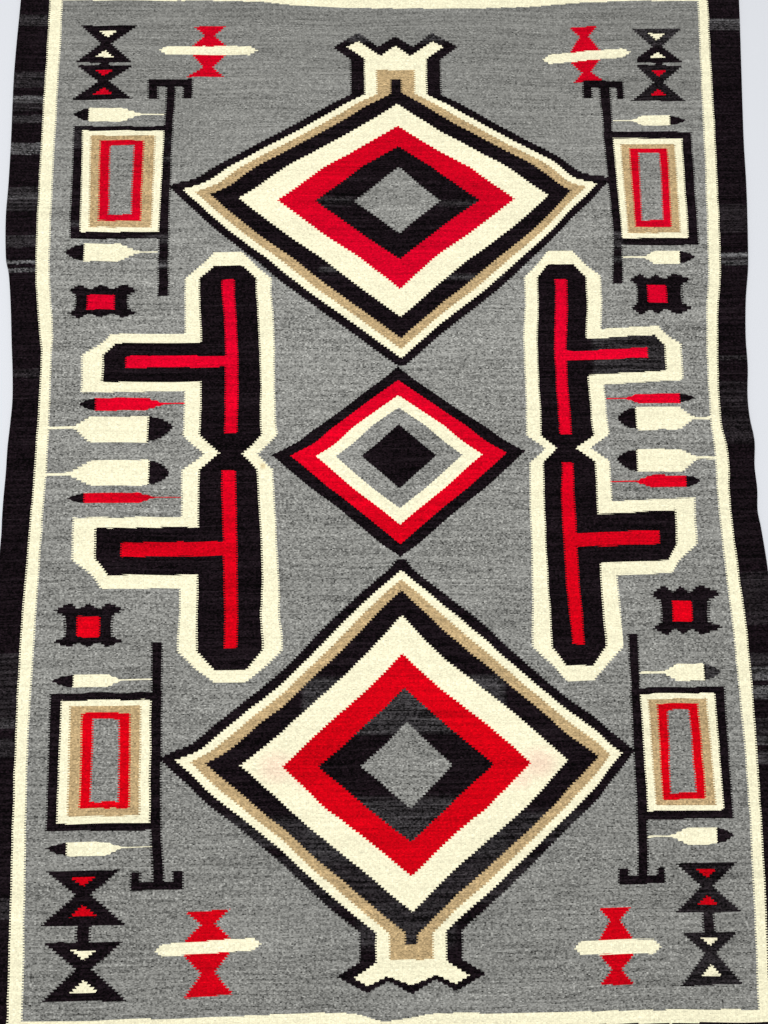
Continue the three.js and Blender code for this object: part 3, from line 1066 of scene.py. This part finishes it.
def dye_wool(loom, sizes, colours):
    """The colour of every stitch: the wool's own, with flecks, streaks, paler spinning and painted
    shade at the ends.
    """
    wool, lift, tint, x, y, row, shifted = wool_pattern(loom, sizes)
    flecks = loom.speckle((shifted / 3.7).floor(), row) - 0.5
    sparks = loom.speckle((x / 2.6).floor(), row + 4000)
    fibre = loom.cloud(x / 3.4, y / 1.7, 2.0) - 0.5
    streak = loom.cloud(x / 170, row * 0.6) - 0.5
    drift = loom.cloud(x / 320, y / 38) - 0.5

    order = (colours.grey, colours.black, colours.cream, colours.red, colours.tan)
    starts = [0] + [(k - 0.5) / 6 for k in range(1, 5)]
    base = loom.ramp(wool / 6, [(p, linear(c)) for p, c in zip(starts, order)])
    strength = loom.ramp(wool / 6, [(p, (*s, 1)) for p, s in zip(starts, UNEVENNESS)])
    of_fleck, of_streak, of_drift = loom.parts(strength)

    paler = (lift + (streak * 1.2 + drift * 0.5) * (lift + 0.05)).share()
    dark = loom.mix(paler, base, linear(colours.charcoal))
    base = loom.mix(wool.equals(BLACK), base, dark)
    patchy = loom.cloud(x / 260, y / 16, 2.0)
    glint = (sparks > 1.1 - patchy * 0.3) * 0.6 - (sparks < 0.03) * 0.4
    grain = flecks * 0.72 + fibre * 1.5 + glint
    ground = wool < 0.5
    # Painted shade: the grey and the red wool are darkened towards both ends of the rug, where the
    # light falls off
    coarse, tone, red_tone, crimson = [
        loom.profile(y, list(zip(SPINNING_AND_PAINTED_SHADE["along"], SPINNING_AND_PAINTED_SHADE[name])))
        for name in ("fleck", "tone", "red_tone", "crimson")
    ]
    is_red = wool.equals(RED)
    base = loom.mix(is_red * (1 - crimson), base, linear(colours.scarlet))
    is_cream = wool.equals(CREAM)
    base = loom.mix(tint * is_cream, base, linear(colours.bleed))
    for spot in rows_of(STAINS, kind=1):
        u = (x - spot["across"]) / spot["reach_across"]
        v = (y - spot["along"]) / spot["reach_along"]
        share = (1 - u * u - v * v).at_least(0) * spot["strength"]
        base = loom.mix(share * is_cream, base, linear(colours.spot))
    grain = grain * (1 + ground * (coarse - 1))
    shade = 1 + of_fleck * grain + of_streak * streak * 1.3 + of_drift * drift
    # The painted shade on the grey ground and the red, darker towards the rug's two ends
    shade = shade * (1 + ground * (tone - 1)) * (1 + is_red * (red_tone - 1))
    return loom.node("VectorMath", {"operation": "SCALE"}, {0: base, "Scale": shade.at_least(0.1)})


def weave_relief(loom, x, y, sizes):
    """Rounded ribs over the warps, with picks that dip between stitches in a brick pattern."""
    pick, warp_pitch = sizes.pick / MM, sizes.warp / MM
    column = x / warp_pitch
    whole = column.floor()
    rib = abs(column - whole - 0.5) * 2
    odd = whole * 0.5 - (whole * 0.5).floor()
    bead = y / (2 * pick) + odd
    dip = abs(bead - bead.floor() - 0.5) * 2
    return 1 - rib * rib * 0.7 - dip * dip * dip * 0.5


def wool_material(sizes, colours):
    """Matt hand-spun wool, plain-woven and dyed by the charts."""
    material = bpy.data.materials.new("wool_weave")
    loom = Loom(material)
    shader = loom.tree.nodes["Principled BSDF"]
    shader.inputs["Roughness"].default_value = 0.92
    shader.inputs["Specular IOR Level"].default_value = 0.04
    colour = dye_wool(loom, sizes, colours)
    loom.tree.links.new(colour.socket, shader.inputs["Base Color"])
    spot = loom.node("TexCoord", {}, {}, "Object")
    x, y, _ = loom.parts(spot)
    x, y = x / MM, y / MM
    height = weave_relief(loom, x, y, sizes) + loom.cloud(x / 45, y / 30, 1.0) * 1.6
    bump = loom.node("Bump", {}, {"Strength": 1.0, "Distance": sizes.relief, "Height": height})
    loom.tree.links.new(bump.socket, shader.inputs["Normal"])
    return material


def plain_material(name, colour, roughness):
    material = bpy.data.materials.new(name)
    material.use_nodes = True
    shader = material.node_tree.nodes["Principled BSDF"]
    shader.inputs["Base Color"].default_value = linear(colour)
    shader.inputs["Roughness"].default_value = roughness
    return material


def length(name, what, metres):
    return FloatProperty(name=name, description=what, default=metres, unit="LENGTH")


class RugSizes(bpy.types.PropertyGroup):
    thickness: length("Thickness", "The sheet's own", 0.004)
    bound_edge: length("Bound edge", "How far the bound edge bulges", 0.0015)
    cells_across: IntProperty(name="Cells across", description="Of the woven sheet", default=172)
    cells_along: IntProperty(name="Cells along", description="Of the woven sheet", default=246)
    rim_steps: IntProperty(name="Rim steps", description="Round the bound edge", default=6)
    warp: length("Warp pitch", "From one rib to the next", 0.0032)
    pick: length("Pick height", "Of one row of weft", 0.0021)
    tooth: length("Joint tooth", "Step between rows where colours meet", 0.003)
    relief: length("Relief", "Depth between the ribs", 0.0003)


def wool_colour(name, what, colour):
    return FloatVectorProperty(
        name=name, description=what, default=colour, subtype="COLOR_GAMMA", min=0, max=1
    )


class WoolColours(bpy.types.PropertyGroup):
    grey: wool_colour("Grey", "Carded grey of the ground", (0.507, 0.507, 0.491))
    black: wool_colour("Black", "Dark brown-black of border and lines", (0.062, 0.036, 0.052))
    charcoal: wool_colour("Charcoal", "Paler spinning of the black", (0.335, 0.332, 0.335))
    cream: wool_colour("Cream", "Natural white", (0.892, 0.871, 0.75))
    red: wool_colour("Crimson", "Bright dyed red", (0.825, 0.0, 0.15))
    scarlet: wool_colour("Scarlet", "The same red's warmer bath", (0.825, 0.0, 0.03))
    tan: wool_colour("Tan", "Natural camel", (0.676, 0.582, 0.427))
    bleed: wool_colour("Bleed", "Red dye that ran into the cream", (0.9, 0.74, 0.67))
    spot: wool_colour("Spot", "One old brownish spot", (0.81, 0.74, 0.575))


# The studio, in metres

FLOOR_REACH = 6.0
LAMP_SIZE = 4.0
LAMP_PLACE = (-0.3, 0.0, 3.2)


class StudioSettings(bpy.types.PropertyGroup):
    floor: wool_colour("Floor", "Plain pale floor", (0.8, 0.81, 0.83))
    sky: FloatProperty(name="Fill light", description="Even light from all round", default=0.57)
    lamp: FloatProperty(
        name="Lamp", description="Power of the wide lamp overhead", default=115, unit="POWER"
    )
    lens: FloatProperty(name="Lens", description="Focal length, millimetres", default=27.03)
    eye: FloatVectorProperty(
        name="Camera place",
        description="Above the rug",
        default=(-0.0281, -0.232, 1.3452),
        subtype="XYZ",
    )
    tilt: FloatVectorProperty(
        name="Camera tilt",
        description="Turns about X, Y and Z",
        default=(0.11611, -0.01572, -0.01218),
        subtype="EULER",
    )


class RUG_OT_weave(bpy.types.Operator):
    """Weaves the rug as one closed sheet with its pattern"""

    bl_idname = "rug.weave"
    bl_label = "Weave the rug"

    def execute(self, context):
        sizes, colours = context.scene.rug_sizes, context.scene.rug_colours
        points, faces = woven_sheet(sizes)
        mesh = bpy.data.meshes.new("woven_rug")
        mesh.from_pydata((points * MM).tolist(), [], faces.tolist())
        if mesh.validate():
            raise RuntimeError("the woven sheet has a bad face")
        mesh.polygons.foreach_set("use_smooth", np.ones(len(faces), bool))
        chart_pattern(mesh, points, faces)
        rug = bpy.data.objects.new("woven_rug", mesh)
        context.scene.collection.objects.link(rug)
        mesh.materials.append(wool_material(sizes, colours))
        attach(rug, "root")
        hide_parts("rug")
        return {"FINISHED"}


class RUG_OT_studio(bpy.types.Operator):
    """Sets a plain floor, soft light and the camera"""

    bl_idname = "rug.studio"
    bl_label = "Set the studio"

    def execute(self, context):
        settings = context.scene.rug_studio
        mesh = bpy.data.meshes.new("floor")
        reach = FLOOR_REACH
        corners = [(-reach, -reach, 0), (reach, -reach, 0), (reach, reach, 0), (-reach, reach, 0)]
        mesh.from_pydata(corners, [], [(0, 1, 2, 3)])
        mesh.materials.append(plain_material("pale_floor", settings.floor, 0.7))
        floor = bpy.data.objects.new("floor", mesh)

        lamp = bpy.data.lights.new("soft_lamp", "AREA")
        lamp.shape = "RECTANGLE"
        lamp.size, lamp.size_y = LAMP_SIZE, LAMP_SIZE
        lamp.energy = settings.lamp
        light = bpy.data.objects.new("soft_lamp", lamp)
        light.location = LAMP_PLACE
        light.rotation_euler = (-light.location).to_track_quat("-Z", "Y").to_euler()

        world = context.scene.world or bpy.data.worlds.new("studio")
        context.scene.world = world
        world.use_nodes = True
        sky = world.node_tree.nodes["Background"]
        sky.inputs["Color"].default_value = linear((1.0, 1.0, 1.0))
        sky.inputs["Strength"].default_value = settings.sky
        context.scene.view_settings.view_transform = "Standard"

        lens = bpy.data.cameras.new("camera")
        lens.lens = settings.lens
        lens.sensor_width = 36
        lens.clip_start = 0.01
        camera = bpy.data.objects.new("camera", lens)
        camera.location = settings.eye
        camera.rotation_euler = settings.tilt
        for thing in (floor, light, camera):
            context.scene.collection.objects.link(thing)
        context.scene.camera = camera
        return {"FINISHED"}


class RUG_PT_panel(bpy.types.Panel):
    """Sizes, colours and the two steps"""

    bl_idname = "RUG_PT_panel"
    bl_label = "Rug"
    bl_space_type = "VIEW_3D"
    bl_region_type = "UI"
    bl_category = "Rug"

    def draw(self, context):
        scene = context.scene
        for group in (scene.rug_sizes, scene.rug_colours, scene.rug_studio):
            box = self.layout.box()
            for name in group.__annotations__:
                box.prop(group, name)
        for step in STEPS:
            self.layout.operator(step.bl_idname)


STEPS = (RUG_OT_weave, RUG_OT_studio)
GROUPS = {"rug_sizes": RugSizes, "rug_colours": WoolColours, "rug_studio": StudioSettings}


def register():
    for made in (*GROUPS.values(), *STEPS, RUG_PT_panel):
        bpy.utils.register_class(made)
    for name, group in GROUPS.items():
        setattr(bpy.types.Scene, name, PointerProperty(type=group))


def unregister():
    for name in GROUPS:
        delattr(bpy.types.Scene, name)
    for made in reversed((*GROUPS.values(), *STEPS, RUG_PT_panel)):
        bpy.utils.unregister_class(made)


def main():
    register()
    bpy.ops.rug.studio()
    bpy.ops.rug.weave()


if __name__ == "__main__":
    main()
